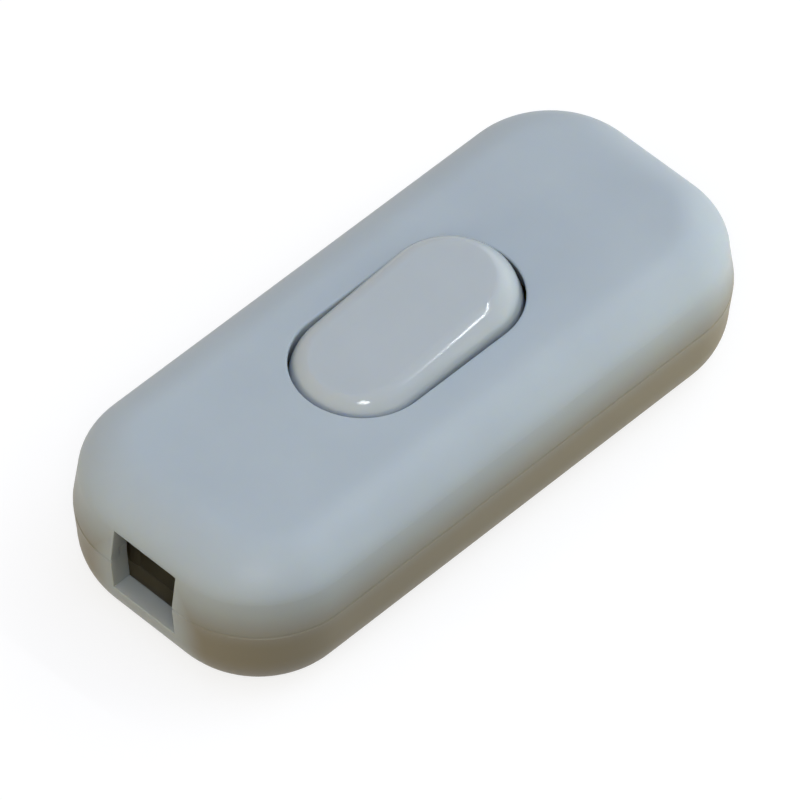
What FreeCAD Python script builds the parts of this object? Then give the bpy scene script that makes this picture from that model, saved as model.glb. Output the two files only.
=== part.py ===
"""Inline cord switch: a two-part moulded housing with a rocker, a cord window at
each end, and inside it a rocking contact, four terminals and two cord clamps.

Millimetres. +X runs along the switch, +Z is up, the origin is the middle of the
flat underside. The rocker is shown with its -X end pressed down, switched on.
"""
import FreeCAD
import Part
import math
import os
from FreeCAD import Vector

# Housing, outside
length = 80.0               # over both ends, at the parting line
width = 35.1
height = 19.8               # flat underside to the flat top
plan_radius = 12.1          # corners seen from above
cover_height = 9.4          # upper shell, from the parting line to the top
seam_bevel = 0.18           # on both shells' outer edge at the parting line
top_round_across = 6.3      # soft shoulder round the top
top_round_down = 5.15
top_round_fullness = 0.46   # 0.55 would be a true ellipse
upper_draft = 0.54          # the upper wall leans in by this much
bottom_round_across = 4.9
bottom_round_up = 6.6
bottom_round_fullness = 0.52
lower_draft = 0.33

# Housing, inside
wall = 2.4
roof_thickness = 2.0
floor_thickness = 2.0
lip_inset = 1.3             # outer face of the lip joint, from the outside
lip_height = 1.2
lip_clearance = 0.1

# Cord windows and clamps
window_width = 9.2
window_height = 8.9
window_rise = 0.1           # middle of the window above the parting line
clamp_end_distance = 9.0    # middle of each clamp from the end of the housing
cord_radius = 3.6           # what the closed clamp grips
clamp_width = 6.0
clamp_thickness = 1.8
clamp_foot_drop = 1.3       # clamp's feet below the middle of the cord
clamp_head_gap = 0.7        # between a screw's head and the clamp's arch
clamp_foot_margin = 0.3     # foot beyond the screw's head
clamp_post_radius = 2.5
grip_height = 0.35          # small ridges across the cord
cradle_wall = 1.4           # trough under each cord
cradle_rib_thickness = 1.3
cradle_rib_spread = 3.2     # between the two ribs under each trough

# Rocker opening and rocker
opening_length = 29.5
opening_land = 9.6          # from the opening to the housing's long side
opening_edge_round = 0.3
collar_thickness = 1.2
rocker_gap = 0.4            # all round, between rocker and opening
rocker_rise = 2.3           # middle of the rocker above the housing's top
rocker_end_roll = 1.2       # how far in the flat top starts to roll over, at the ends
rocker_side_roll = 2.6      # and at the long sides
rocker_roll_depth = 2.7     # from the flat top to the upright wall
rocker_roll_fullness = 0.5
rocker_skirt = 1.3
rocker_roof = 2.0
skirt_drop = 1.6            # skirt's lower edge below the pivot
rocker_tilt = 5.75          # degrees to each side of level
pivot_depth = 5.2           # rocker's axis below the housing's top
trunnion_radius = 1.25
running_clearance = 0.05    # shafts and plungers in their holes
post_radius = 2.6
post_clearance = 1.3        # between the post and the rocking contact
rocker_rib = 1.0
rocker_rib_depth = 2.3

# Switch carrier
carrier_plate = 2.0
carrier_end = 4.0           # plate beyond the middle of each barrier
carrier_tongue_width = 7.2  # the two ends under the terminals
carrier_tongue_end = 0.9    # tongue beyond the terminal
cheek_gap = 0.25            # between a cheek and the rocker's side
cheek_thickness = 1.6
cheek_round = 2.0           # top of the cheek, about the pivot
cheek_clearance = 0.3       # between a cheek's top and the collar
cheek_foot = 13.0           # width of the cheek where it leaves the plate
barrier_inset = 0.85        # middle of each barrier inside the rocker's end
barrier_thickness = 1.4
barrier_side_gap = 0.8      # barrier's ends inside the cheeks' plane
stop_clearance = 0.1
peg_setback = 3.0           # locating pegs, from the barrier
peg_inset = 2.4             # locating pegs, from the plate's edge
peg_radius = 1.0
peg_rise = 0.4              # above the plate
hold_down_radius = 1.4

# Rocking contact, contact tips and plunger
fulcrum_height = 3.0        # fulcrum's axis above the carrier's plate
fulcrum_radius = 0.5
lever_length = 18.0
lever_width = 4.4
lever_thickness = 1.0
lever_lift = 0.1            # lever's underside above the fulcrum's axis
lever_tilt = 5.75           # degrees to each side of level
contact_inset = 1.8         # middle of each contact tip, from the lever's end
contact_radius = 1.4
contact_dome = 3.0          # radius of the fixed contact's domed face
moving_tip_height = 0.5
contact_gap = 0.05          # left between faces that press on each other
strip_thickness = 0.8
strip_width = 4.6
ear_gap = 0.15              # either side of the lever
ear_thickness = 0.8
ear_length = 2.4
ear_rise = 0.5              # above the lever
plunger_radius = 1.4
plunger_length = 5.0
spigot_radius = 0.7
spigot_height = 1.0
spring_bore_depth = 1.7     # end of the bore below the rocker's ceiling
spring_wire_radius = 0.2
spring_pitch = 0.75

# Terminals
pillar_length = 5.0
pillar_width = 6.0
pillar_height = 6.6
wire_radius = 1.25
wire_height = 0.42          # wire hole's axis, as a share of the pillar's height
through_block_length = 12.0
through_block_height = 5.0
through_block_lift = 2.6    # above the floor
through_screw_x = 3.5
block_carrier_gap = 0.7
block_wall_gap = 0.85
block_end_gap = 0.15
block_rib = 1.2
block_rib_rise = 3.6        # end ribs above the underside of the block

# Screws
terminal_screw_radius = 1.25
terminal_head_radius = 1.9
terminal_head_height = 1.5
clamp_screw_radius = 1.1
clamp_screw_length = 6.5
clamp_head_radius = 2.1
clamp_head_height = 1.5
cover_screw_radius = 1.35
cover_screw_end = 2.6       # tip of the screw below the roof
cover_post_gap = 0.25       # between a screw post and the clamp beside it
cover_head_radius = 2.5
cover_head_height = 1.7
cover_head_recess = 2.0     # head's outer face above the underside
cover_post_wall = 1.0
cover_boss_radius = 2.9
screw_slot_width = 0.6
screw_slot_depth = 0.7
thread_clearance = 0.05

# Sizes and places that follow from those above
parting_z = height - cover_height
roof_z = height - roof_thickness
window_z = parting_z + window_rise
window_bottom_z = window_z - window_height / 2
opening_width = width - 2 * opening_land
rocker_length = opening_length - 2 * rocker_gap
rocker_width = opening_width - 2 * rocker_gap
rocker_top_z = height + rocker_rise
rocker_ceiling_z = rocker_top_z - rocker_roof
spring_bore_top_z = rocker_ceiling_z - spring_bore_depth
pivot_z = height - pivot_depth
collar_z = pivot_z + cheek_round + cheek_clearance

plate_top_z = floor_thickness + carrier_plate
strip_top_z = plate_top_z + strip_thickness
cheek_inner_y = rocker_width / 2 + cheek_gap
cheek_outer_y = cheek_inner_y + cheek_thickness
barrier_x = rocker_length / 2 - barrier_inset
barrier_outer_x = barrier_x + barrier_thickness / 2
peg_x = barrier_x - peg_setback
peg_y = cheek_outer_y - peg_inset
hold_down_x = barrier_outer_x + hold_down_radius + 0.2

fulcrum_z = plate_top_z + fulcrum_height
lever_top_z = fulcrum_z + lever_lift + lever_thickness
contact_x = lever_length / 2 - contact_inset
plunger_tip_z = lever_top_z + contact_gap
plunger_top_z = plunger_tip_z + plunger_length
post_bottom_z = lever_top_z + post_clearance

clamp_x = length / 2 - clamp_end_distance
clamp_inner_x = clamp_x - clamp_width / 2
clamp_screw_y = cord_radius + clamp_thickness + clamp_head_gap + clamp_head_radius
clamp_foot_z = window_z - clamp_foot_drop
clamp_foot_top_z = clamp_foot_z + clamp_thickness
pillar_x = (barrier_outer_x + clamp_inner_x) / 2
pillar_top_z = plate_top_z + pillar_height
pillar_wire_z = plate_top_z + pillar_height * wire_height
through_block_z = floor_thickness + through_block_lift
through_block_top_z = through_block_z + through_block_height
through_wire_z = through_block_z + through_block_height / 2
through_inner_y = cheek_outer_y + block_carrier_gap
through_outer_y = width / 2 - wall - block_wall_gap
through_block_y = (through_inner_y + through_outer_y) / 2
block_rib_top_z = through_block_z + block_rib_rise

cover_counterbore = cover_head_radius + 0.25
cover_post_radius = cover_counterbore + cover_post_wall
cover_screw_x = clamp_inner_x - cover_post_gap - cover_post_radius
cover_screw_y = clamp_screw_y
cover_seat_z = cover_head_recess + cover_head_height
cover_screw_length = roof_z - cover_screw_end - cover_seat_z

x_axis = Vector(1, 0, 0)
y_axis = Vector(0, 1, 0)
z_axis = Vector(0, 0, 1)
pivot = Vector(0, 0, pivot_z)
fulcrum = Vector(0, 0, fulcrum_z)


def box(x0, x1, y0, y1, z0, z1):
    return Part.makeBox(x1 - x0, y1 - y0, z1 - z0, Vector(x0, y0, z0))


def rod(radius, start, end):
    run = end - start
    return Part.makeCylinder(radius, run.Length, start, run)


def upright(radius, x, y, z0, z1):
    return rod(radius, Vector(x, y, z0), Vector(x, y, z1))


def face_of(edges):
    return Part.Face(Part.Wire(edges))


def line(a, b):
    return Part.LineSegment(a, b).toShape()


def arc(a, middle, b):
    return Part.Arc(a, middle, b).toShape()


def slot_outline(half_length, half_width, z):
    """Level outline with straight sides and round ends."""
    r = half_width
    s = half_length - r
    return [
        line(Vector(-s, -r, z), Vector(s, -r, z)),
        arc(Vector(s, -r, z), Vector(s + r, 0, z), Vector(s, r, z)),
        line(Vector(s, r, z), Vector(-s, r, z)),
        arc(Vector(-s, r, z), Vector(-s - r, 0, z), Vector(-s, -r, z)),
    ]


def slot_block(full_length, full_width, z0, z1):
    return face_of(slot_outline(full_length / 2, full_width / 2, z0)).extrude(Vector(0, 0, z1 - z0))


def swinging_half(full_length, z):
    """Half length at z of a form whose ends keep their gap as it tilts: full_length is that at the rim."""
    reach = math.hypot(full_length / 2, pivot_depth)
    return math.sqrt(reach ** 2 - (z - pivot_z) ** 2)


def swinging_block(full_length, full_width, z0, z1):
    """Slot block whose two ends follow an arc about the pivot."""
    levels = [z0 + (z1 - z0) * step / 4 for step in range(5)]
    outlines = [slot_outline(swinging_half(full_length, z), full_width / 2, z) for z in levels]
    return Part.makeLoft([Part.Wire(outline) for outline in outlines], True)


def rounded_block(inset, z0, z1):
    """Upright block with the housing's plan, drawn in by inset."""
    a = length / 2 - inset
    b = width / 2 - inset
    r = plan_radius - inset
    block = box(-a, a, r - b, b - r, z0, z1)
    block = block.fuse(box(r - a, a - r, -b, b, z0, z1))
    corners = [upright(r, sx * (a - r), sy * (b - r), z0, z1) for sx in (-1, 1) for sy in (-1, 1)]
    return block.fuse(corners).removeSplitter()


def wall_section(reach, outline):
    """Half of the housing's cross-section, from the middle out to reach, on the XZ plane."""
    z_open, bevel, draft, z_round, across, z_end, fullness = outline
    way = 1 if z_end > z_open else -1
    foot = Vector(reach - bevel, 0, z_open)
    edge = Vector(reach, 0, z_open + way * bevel)
    shoulder = Vector(reach - draft, 0, z_round)
    top = Vector(reach - draft - across, 0, z_end)
    rise = z_end - z_round
    curve = Part.BezierCurve()
    curve.setPoles([
        shoulder,
        shoulder + Vector(0, 0, rise * fullness),
        top + Vector(across * fullness, 0, 0),
        top,
    ])
    corners = [top, Vector(0, 0, z_end), Vector(0, 0, z_open), foot]
    if bevel > 0:
        corners.append(edge)
    corners.append(shoulder)
    edges = [line(a, b) for a, b in zip(corners, corners[1:])]
    return face_of(edges + [curve.toShape()])


def housing_form(half_length, half_width, radius, outline):
    """Solid with the section run round a rounded rectangle: straight sides and turned corners."""
    sx = half_length - radius
    sy = half_width - radius
    end = wall_section(half_length, outline).extrude(Vector(0, 2 * sy, 0))
    end.translate(Vector(0, -sy, 0))
    side = wall_section(half_width, outline)
    side.rotate(Vector(), z_axis, 90)
    side = side.extrude(Vector(2 * sx, 0, 0))
    side.translate(Vector(-sx, 0, 0))
    corner = wall_section(radius, outline).revolve(Vector(), z_axis, 90)
    corner.translate(Vector(sx, sy, 0))
    pieces = [side, side.mirror(Vector(), y_axis), end.mirror(Vector(), x_axis)]
    pieces += [corner, corner.mirror(Vector(), x_axis), corner.mirror(Vector(), y_axis)]
    pieces.append(corner.mirror(Vector(), x_axis).mirror(Vector(), y_axis))
    return end.fuse(pieces).removeSplitter()


def hollow_form(outline, thickness, end_thickness):
    """Cavity that leaves the wall at the sides and end_thickness over the flat."""
    z_open, bevel, draft, z_round, across, z_end, fullness = outline
    way = 1 if z_end > z_open else -1
    inner_across = max(across - thickness, 0.5)
    inner_end = z_end - way * end_thickness
    inner = (z_open, 0, draft, z_round, inner_across, inner_end, fullness)
    return housing_form(
        length / 2 - thickness, width / 2 - thickness, plan_radius - thickness, inner)


upper_outline = (
    parting_z, seam_bevel, upper_draft, height - top_round_down,
    top_round_across, height, top_round_fullness)
lower_outline = (
    parting_z, seam_bevel, lower_draft, bottom_round_up,
    bottom_round_across, 0, bottom_round_fullness)


def cord_windows():
    half = window_width / 2
    reach = length / 2 + 1
    top = window_bottom_z + window_height
    near = box(-reach, 2 * wall - length / 2, -half, half, window_bottom_z, top)
    return near.fuse(near.mirror(Vector(), x_axis))


def cover_screw_places():
    return [(-cover_screw_x, cover_screw_y), (cover_screw_x, -cover_screw_y)]


def make_upper_shell():
    shell = housing_form(length / 2, width / 2, plan_radius, upper_outline)
    shell = shell.cut(hollow_form(upper_outline, wall, roof_thickness))
    shell = shell.cut(rounded_block(lip_inset, parting_z, parting_z + lip_height + lip_clearance))

    collar_length = 2 * (swinging_half(opening_length, collar_z) + collar_thickness)
    collar_width = opening_width + 2 * collar_thickness
    shell = shell.fuse(slot_block(collar_length, collar_width, collar_z, roof_z + 0.5))
    bosses = [upright(cover_boss_radius, x, y, parting_z, roof_z + 0.5) for x, y in cover_screw_places()]
    for side in (-1, 1):
        bosses.append(upright(
            hold_down_radius, side * hold_down_x, side * peg_y,
            plate_top_z + stop_clearance, roof_z + 0.5))
    shell = shell.fuse(bosses).removeSplitter()

    shell = shell.cut(swinging_block(opening_length, opening_width, collar_z - 1, height + 1))
    rim = [e for e in shell.Edges if abs(e.BoundBox.ZMin - height) < 1e-4 and
           e.BoundBox.ZLength < 1e-4 and
           abs(e.CenterOfMass.x) < opening_length / 2 and
           e.BoundBox.YMax < opening_width / 2 + 0.1 and e.BoundBox.YMin > -opening_width / 2 - 0.1]
    shell = shell.makeFillet(opening_edge_round, rim)
    pilot_radius = cover_screw_radius + thread_clearance
    pilot_end_z = roof_z - cover_screw_end + 0.5
    pilots = [upright(pilot_radius, x, y, parting_z - 1, pilot_end_z) for x, y in cover_screw_places()]
    return shell.cut(pilots + [cord_windows()])


def make_lower_shell():
    shell = housing_form(length / 2, width / 2, plan_radius, lower_outline)
    shell = shell.cut(hollow_form(lower_outline, wall, floor_thickness))
    lip = rounded_block(lip_inset + lip_clearance, parting_z - 0.6, parting_z + lip_height)
    lip = lip.cut(rounded_block(wall, parting_z - 1, parting_z + lip_height + 1))
    shell = shell.fuse(lip)

    base_z = floor_thickness - 0.5
    grown = [upright(cover_post_radius, x, y, base_z, parting_z) for x, y in cover_screw_places()]
    holes = [cord_windows()]
    for side in (-1, 1):
        grown += cord_cradle(side * clamp_x, base_z)
        grown += block_seat(side, base_z)
        middle = Vector(side * clamp_x, 0, window_z)
        reach = Vector(clamp_width, 0, 0)
        holes.append(rod(cord_radius, middle - reach, middle + reach))
        for sy in (-1, 1):
            grown.append(upright(peg_radius, side * peg_x, sy * peg_y, base_z, plate_top_z + peg_rise))
            holes.append(upright(
                clamp_screw_radius + thread_clearance, side * clamp_x, sy * clamp_screw_y,
                clamp_foot_z - clamp_screw_length, clamp_foot_z + 1))
    shell = shell.fuse(grown).removeSplitter()
    for x, y in cover_screw_places():
        holes.append(upright(cover_counterbore, x, y, -1, cover_seat_z))
        holes.append(upright(cover_screw_radius + 0.2, x, y, 0, parting_z + 1))
    return shell.cut(holes)


def cord_cradle(x, base_z):
    """Trough that the cord lies in, on two ribs between the clamp's two screw posts."""
    outer = cord_radius + cradle_wall
    x0 = x - clamp_width / 2
    x1 = x + clamp_width / 2
    trough = rod(outer, Vector(x0, 0, window_z), Vector(x1, 0, window_z))
    pieces = [trough.common(box(x0, x1, -outer, outer, window_z - outer, clamp_foot_z))]
    half = cradle_rib_thickness / 2
    for step in (-0.5, 0.5):
        middle = x + step * cradle_rib_spread
        pieces.append(box(
            middle - half, middle + half, -clamp_screw_y, clamp_screw_y, base_z, clamp_foot_z))
    for sy in (-1, 1):
        pieces.append(upright(clamp_post_radius, x, sy * clamp_screw_y, base_z, clamp_foot_z))
    return pieces


def block_seat(side, base_z):
    """Ribs that carry one through terminal and keep it from sliding along."""
    y0, y1 = sorted((side * (cheek_outer_y + 0.3), side * (width / 2 - wall / 2)))
    y = side * through_block_y
    ribs = []
    for sx in (-1, 1):
        inner = sx * (through_block_length / 2 + block_end_gap)
        x0, x1 = sorted((inner, inner + sx * block_rib))
        stop = box(x0, x1, y0, y1, base_z, block_rib_top_z)
        way = box(x0, x1, y - wire_radius, y + wire_radius, through_wire_z, block_rib_top_z + 1)
        way = way.fuse(rod(wire_radius, Vector(x0, y, through_wire_z), Vector(x1, y, through_wire_z)))
        ribs.append(stop.cut(way))
        x0, x1 = sorted((sx * through_screw_x, sx * (through_screw_x + block_rib)))
        ribs.append(box(x0, x1, y0, y1, base_z, through_block_z))
    within = housing_form(length / 2 - wall / 2, width / 2 - wall / 2, plan_radius - wall / 2, (
        parting_z, 0, lower_draft, bottom_round_up, bottom_round_across - wall / 2,
        floor_thickness / 2, bottom_round_fullness))
    return [rib.common(within) for rib in ribs]


def turned_at_pivot(shape, angle):
    turned = shape.copy()
    turned.rotate(pivot, y_axis, angle)
    return turned


def rocker_form(inset, z0, top_z):
    """The rocker drawn in by inset: walls that swing in the opening, under a rolled-over top."""
    roll_z = top_z - rocker_roll_depth
    curve = Part.BezierCurve()
    curve.setPoles([
        Vector(0, 0, 0),
        Vector(0, 0, rocker_roll_fullness),
        Vector(1 - rocker_roll_fullness, 0, 1),
        Vector(1, 0, 1),
    ])
    levels = [(0, z0 + (roll_z - z0) * step / 3) for step in range(3)]
    for step in range(9):
        share = curve.value(step / 8)
        levels.append((share.x, roll_z + share.z * rocker_roll_depth))
    outlines = []
    for share, z in levels:
        half_length = swinging_half(rocker_length, z) - inset - share * rocker_end_roll
        half_width = rocker_width / 2 - inset - share * rocker_side_roll
        outlines.append(Part.Wire(slot_outline(half_length, half_width, z)))
    return Part.makeLoft(outlines, True)


def make_rocker_button():
    """Rolled-over cap whose walls swing in the opening, with ribs, bored post and trunnions inside."""
    skirt_z = pivot_z - skirt_drop
    form = rocker_form(0, skirt_z, rocker_top_z)
    body = form.cut(rocker_form(rocker_skirt, skirt_z - 1, rocker_ceiling_z))

    inner_x = rocker_length / 2 - rocker_skirt / 2
    inner_y = rocker_width / 2 - rocker_skirt / 2
    half = rocker_rib / 2
    rib_z = rocker_ceiling_z - rocker_rib_depth
    long_rib = box(-inner_x, inner_x, -half, half, rib_z, rocker_ceiling_z + 0.5)
    cross_rib = box(-half, half, -inner_y, inner_y, pivot_z, rocker_ceiling_z + 0.5)
    post = upright(post_radius, 0, 0, post_bottom_z, rocker_ceiling_z + 0.5)
    trunnion_y = cheek_outer_y - 0.2
    trunnion = rod(trunnion_radius, Vector(0, inner_y, pivot_z), Vector(0, trunnion_y, pivot_z))
    ribs = [long_rib.common(form), cross_rib.common(form), post]
    body = body.fuse(ribs + [trunnion, trunnion.mirror(Vector(), y_axis)])
    body = body.removeSplitter()
    body = body.cut(upright(
        plunger_radius + running_clearance, 0, 0, post_bottom_z - 1, spring_bore_top_z))
    return turned_at_pivot(body, -rocker_tilt)


def make_contact_plunger():
    ball_z = plunger_tip_z + plunger_radius
    shape = Part.makeSphere(plunger_radius, Vector(0, 0, ball_z))
    shape = shape.fuse([
        upright(plunger_radius, 0, 0, ball_z, plunger_top_z),
        upright(spigot_radius, 0, 0, ball_z, plunger_top_z + spigot_height),
    ]).removeSplitter()
    return turned_at_pivot(shape, -rocker_tilt)


def make_plunger_spring():
    """Coil between the plunger's shoulder and the end of the post's bore."""
    start = plunger_top_z + spring_wire_radius
    rise = spring_bore_top_z - spring_wire_radius - start
    coil = plunger_radius - spring_wire_radius - running_clearance
    path = Part.Wire(Part.makeHelix(spring_pitch, rise, coil).Edges)
    lead = Vector(0, 2 * math.pi * coil, spring_pitch)
    wire = Part.Wire([Part.makeCircle(spring_wire_radius, Vector(coil, 0, 0), lead)])
    sweep = Part.BRepOffsetAPI.MakePipeShell(path)
    sweep.setFrenetMode(True)
    sweep.add(wire)
    sweep.build()
    sweep.makeSolid()
    spring = sweep.shape()
    spring.translate(Vector(0, 0, start))
    return turned_at_pivot(spring, -rocker_tilt)


def make_contact_lever():
    half = lever_length / 2
    strip = box(-half, half, -lever_width / 2, lever_width / 2, fulcrum_z + lever_lift, lever_top_z)
    ends = [e for e in strip.Edges if e.Length < lever_thickness + 0.01 and abs(e.CenterOfMass.x) > 1]
    strip = strip.makeFillet(1.2, ends)
    groove = rod(
        fulcrum_radius + running_clearance,
        Vector(0, -lever_width, fulcrum_z), Vector(0, lever_width, fulcrum_z))
    strip = strip.cut(groove)
    strip.rotate(fulcrum, y_axis, lever_tilt)
    return strip


def make_moving_tip():
    under = fulcrum_z + lever_lift
    tip = upright(contact_radius, contact_x, 0, under - moving_tip_height, under)
    rim = [e for e in tip.Edges if abs(e.CenterOfMass.z - under + moving_tip_height) < 1e-6]
    tip = tip.makeChamfer(0.15, rim)
    tip.rotate(fulcrum, y_axis, lever_tilt)
    return tip


def domed_pad(x, face_drop):
    """Domed pad on the strip that the lever's face, face_drop below its underside, comes down on."""
    turn = math.radians(lever_tilt)
    level = lever_lift - face_drop - contact_gap - contact_dome
    dome_z = fulcrum_z + (level - abs(x) * math.sin(turn)) / math.cos(turn)
    pad = upright(contact_radius, x, 0, strip_top_z, fulcrum_z)
    return pad.common(Part.makeSphere(contact_dome, Vector(x, 0, dome_z)))


def terminal_pillar(side):
    """Clamping block for one conductor, with its wire hole along X and its screw hole on top."""
    x = side * pillar_x
    half = pillar_length / 2
    block = box(x - half, x + half, -pillar_width / 2, pillar_width / 2, plate_top_z, pillar_top_z)
    start = Vector(x - half - 1, 0, pillar_wire_z)
    block = block.cut(rod(wire_radius, start, start + Vector(pillar_length + 2, 0, 0)))
    return block.cut(upright(terminal_screw_radius + thread_clearance, x, 0, pillar_wire_z, pillar_top_z + 1))


def make_common_terminal():
    """Pillar, strip, fulcrum with its two ears, and the pressed stop under the lever's free end."""
    strip = box(
        pillar_length / 2 - pillar_x - 0.5, ear_length / 2,
        -strip_width / 2, strip_width / 2, plate_top_z, strip_top_z)
    half_span = lever_width / 2 + ear_gap + ear_thickness
    ridge = box(-fulcrum_radius, fulcrum_radius, -half_span, half_span, plate_top_z, fulcrum_z)
    ridge = ridge.fuse(rod(fulcrum_radius, Vector(0, -half_span, fulcrum_z), Vector(0, half_span, fulcrum_z)))
    pieces = [strip, ridge, domed_pad(-contact_x, 0)]
    for sy in (-1, 1):
        y0, y1 = sorted((sy * half_span, sy * (half_span - ear_thickness)))
        pieces.append(box(-ear_length / 2, ear_length / 2, y0, y1, plate_top_z, lever_top_z + ear_rise))
    return terminal_pillar(-1).fuse(pieces).removeSplitter()


def make_fixed_terminal():
    strip = box(
        contact_x - contact_radius - 0.4, pillar_x - pillar_length / 2 + 0.5,
        -strip_width / 2, strip_width / 2, plate_top_z, strip_top_z)
    return terminal_pillar(1).fuse(strip).removeSplitter()


def make_through_block(side):
    """Brass block beside the carrier that joins a conductor straight through."""
    y0, y1 = sorted((side * through_inner_y, side * through_outer_y))
    y = side * through_block_y
    half = through_block_length / 2
    block = box(-half, half, y0, y1, through_block_z, through_block_top_z)
    upper = [e for e in block.Edges if abs(e.CenterOfMass.z - through_block_top_z) < 1e-6]
    block = block.makeChamfer(0.25, upper)
    block = block.cut(rod(
        wire_radius, Vector(-half - 1, y, through_wire_z), Vector(half + 1, y, through_wire_z)))
    holes = [upright(
        terminal_screw_radius + thread_clearance, sx * through_screw_x, y,
        through_wire_z, through_block_top_z + 1) for sx in (-1, 1)]
    return block.cut(holes)


def make_switch_carrier():
    """Insulating plate with the rocker's two bearing cheeks and a barrier at each end."""
    half = barrier_x + carrier_end
    plate = box(-half, half, -cheek_outer_y, cheek_outer_y, floor_thickness, plate_top_z)
    corners = [e for e in plate.Edges if abs(e.BoundBox.ZLength - carrier_plate) < 1e-6]
    plate = plate.makeFillet(1.5, corners)
    reach = pillar_x + pillar_length / 2 + carrier_tongue_end
    tongue = box(
        -reach, reach, -carrier_tongue_width / 2, carrier_tongue_width / 2,
        floor_thickness, plate_top_z)

    cheek = cheek_section().extrude(Vector(0, cheek_thickness, 0))
    cheek.translate(Vector(0, cheek_inner_y, 0))
    barrier_end = cheek_inner_y - barrier_side_gap
    barrier = box(
        barrier_outer_x - barrier_thickness, barrier_outer_x,
        -barrier_end, barrier_end, plate_top_z - 0.5, pivot_z)
    above = box(-length, length, -width, width, pivot_z - skirt_drop - stop_clearance, 2 * height)
    barrier = barrier.cut(turned_at_pivot(above, rocker_tilt))
    arch = box(
        0, half, -strip_width / 2 - 0.2, strip_width / 2 + 0.2, plate_top_z, strip_top_z + 1.4)
    barrier = barrier.cut(arch)
    carrier = plate.fuse([
        tongue, cheek, cheek.mirror(Vector(), y_axis), barrier, barrier.mirror(Vector(), x_axis),
    ]).removeSplitter()

    holes = [rod(
        trunnion_radius + running_clearance,
        Vector(0, -width, pivot_z), Vector(0, width, pivot_z))]
    for sx in (-1, 1):
        for sy in (-1, 1):
            holes.append(upright(
                peg_radius + running_clearance, sx * peg_x, sy * peg_y,
                floor_thickness - 1, plate_top_z + 1))
    for x, y in cover_screw_places():
        holes.append(upright(cover_post_radius + cover_post_gap, x, y, 0, parting_z + 1))
    return carrier.cut(holes)


def cheek_section():
    """Cheek's outline: straight flanks from a wide foot, tangent to a round about the pivot."""
    foot_z = plate_top_z - 0.5
    half = cheek_foot / 2
    down = pivot_z - foot_z
    reach = math.hypot(half, down)
    turn = math.atan2(down, half) - math.asin(cheek_round / reach)
    touch = Vector(cheek_round * math.sin(turn), 0, pivot_z + cheek_round * math.cos(turn))
    far = Vector(-touch.x, 0, touch.z)
    right = Vector(half, 0, foot_z)
    left = Vector(-half, 0, foot_z)
    crest = Vector(0, 0, pivot_z + cheek_round)
    return face_of([
        line(left, right), line(right, touch), arc(touch, crest, far), line(far, left)])


def make_cord_clamp(side):
    """Bridge over the cord: two flat feet and a round arch with gripping ridges."""
    r = cord_radius
    outer = r + clamp_thickness
    tip = clamp_screw_y + clamp_head_radius + clamp_foot_margin
    x0 = side * clamp_x - clamp_width / 2
    x1 = x0 + clamp_width
    clamp = box(x0, x1, -tip, tip, clamp_foot_z, clamp_foot_top_z)
    ends = [e for e in clamp.Edges if abs(e.BoundBox.ZLength - clamp_thickness) < 1e-6]
    clamp = clamp.makeFillet(clamp_width * 0.35, ends)
    arch = rod(outer, Vector(x0, 0, window_z), Vector(x1, 0, window_z))
    arch = arch.common(box(x0, x1, -outer, outer, clamp_foot_z, window_z + outer))
    clamp = clamp.fuse(arch)
    clamp = clamp.cut(rod(r + grip_height, Vector(x0 - 1, 0, window_z), Vector(x1 + 1, 0, window_z)))
    clamp = clamp.cut(box(x0, x1, -r - grip_height, r + grip_height, clamp_foot_z - 1, window_z))
    for step in (-1, 0, 1):
        x = side * clamp_x + step * clamp_width / 3
        ridge = rod(r + grip_height + 0.2, Vector(x - 0.3, 0, window_z), Vector(x + 0.3, 0, window_z))
        ridge = ridge.cut(rod(r, Vector(x - 1, 0, window_z), Vector(x + 1, 0, window_z)))
        clamp = clamp.fuse(ridge.common(box(x - 1, x + 1, -outer, outer, window_z, window_z + outer)))
    clamp = clamp.removeSplitter()
    for sy in (-1, 1):
        clamp = clamp.cut(upright(
            clamp_screw_radius + 0.15, side * clamp_x, sy * clamp_screw_y,
            clamp_foot_z - 1, clamp_foot_top_z + 1))
    return clamp


def make_screw(shank_radius, shank_length, head_radius, head_height, slots):
    """Cheese-head screw with its head's seat at the origin and its head upwards."""
    head = upright(head_radius, 0, 0, 0, head_height)
    rim = [e for e in head.Edges if abs(e.CenterOfMass.z - head_height) < 1e-6]
    head = head.makeFillet(0.3, rim)
    shank = upright(shank_radius, 0, 0, -shank_length, 0)
    point = [e for e in shank.Edges if abs(e.CenterOfMass.z + shank_length) < 1e-6]
    shank = shank.makeChamfer(shank_radius * 0.35, point)
    screw = head.fuse(shank)
    half = screw_slot_width / 2
    for turn in range(slots):
        reach = head_radius + 1 if slots == 1 else head_radius * 0.6
        slot = box(-reach, reach, -half, half, head_height - screw_slot_depth, head_height + 1)
        slot.rotate(Vector(), z_axis, 90 * turn + 45)
        screw = screw.cut(slot)
    return screw


def placed(shape, x, y, z):
    moved = shape.copy()
    moved.translate(Vector(x, y, z))
    return moved


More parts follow.
